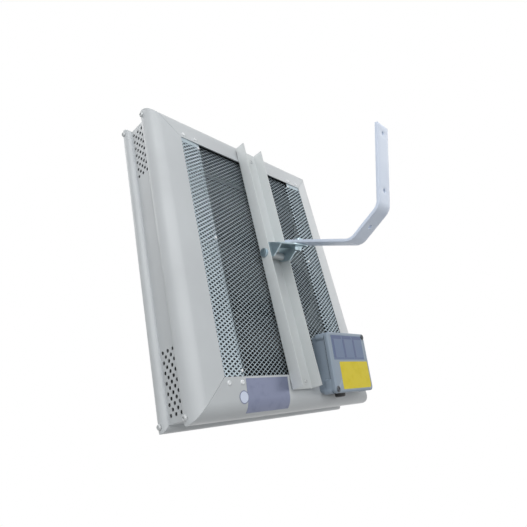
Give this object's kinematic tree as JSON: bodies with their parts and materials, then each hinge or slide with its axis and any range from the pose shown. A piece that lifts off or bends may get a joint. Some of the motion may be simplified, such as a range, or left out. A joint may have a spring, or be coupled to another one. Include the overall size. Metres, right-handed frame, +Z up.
{
  "type": "infrared heater",
  "caption": "Wall-hung infrared heater panel with lamps behind a wire guard, a mesh back and a terminal box, on a swivelling and tilting bent strap.",
  "frame": {"origin": "on the wall face of the strap, midway between the two wall holes", "axes": "+Z up, +Y into the wall, the heater's front faces -Y and down"},
  "size_m": [0.464, 0.4187, 0.5419],
  "materials": {
    "strap_paint": "smooth bluish white powder coat",
    "zinc": "bright zinc plate",
    "case_paint": "satin off-white powder coat",
    "galvanised": "galvanised",
    "reflector": "bright anodised",
    "quartz": "clear",
    "filament": "dark coiled wire",
    "ceramic": "unglazed ceramic",
    "loom_sleeve": "woven glass sleeve",
    "rubber": "matt",
    "guard_wire": "bright plated wire",
    "box_plastic": "fine grained blue-grey",
    "black_plastic": "satin black",
    "terminal_white": "smooth",
    "box_screw_zinc": "bright zinc plate"
  },
  "bodies": {
    "wall_bracket": {"wall_strap": "strap_paint", "swivel_bolt": "zinc", "swivel_washer": "zinc", "swivel_nut": "zinc"},
    "knuckle": {"swivel_knuckle": "zinc", "pivot_sleeve": "zinc"},
    "heater": {"pivot_bolt": "zinc", "pivot_nut": "zinc", "channel_screws": "zinc", "flange_screws": "zinc", "rail_left": "case_paint", "rail_right": "case_paint", "rail_top": "case_paint", "rail_bottom": "case_paint", "mount_channel": "case_paint", "corner_screws": "case_paint", "rear_mesh": "galvanised", "mesh_rivets": "galvanised", "end_plate_left": "galvanised", "end_plate_right": "galvanised", "corner_gussets": "galvanised", "reflector_top": "reflector", "reflector_middle": "reflector", "reflector_bottom": "reflector", "lamp_tube_top": "quartz", "lamp_tube_middle": "quartz", "lamp_tube_bottom": "quartz", "lamp_filaments": "filament", "lamp_caps": "ceramic", "lamp_holders": "ceramic", "wiring_loom_left": "loom_sleeve", "wiring_loom_right": "loom_sleeve", "loom_grommets": "rubber", "box_gasket": "rubber", "guard_grille": "guard_wire", "terminal_box_base": "box_plastic", "terminal_box_lid": "box_plastic", "lid_screws": "black_plastic", "cable_gland": "black_plastic", "gland_nut": "black_plastic", "terminal_block": "terminal_white", "box_screws": "box_screw_zinc"}
  },
  "joints": [
    {"name": "swivel", "type": "hinge", "parent": "wall_bracket", "child": "knuckle", "pos_m": [0, -0.17205, -0.11096], "axis": [0, 0.1323, 0.9912], "range_deg": [-30, 30]},
    {"name": "tilt", "type": "hinge", "parent": "knuckle", "child": "heater", "pos_m": [0, -0.22783, -0.1245], "axis": [1, 0, 0], "range_deg": [-18.5, 26.5]}
  ]
}
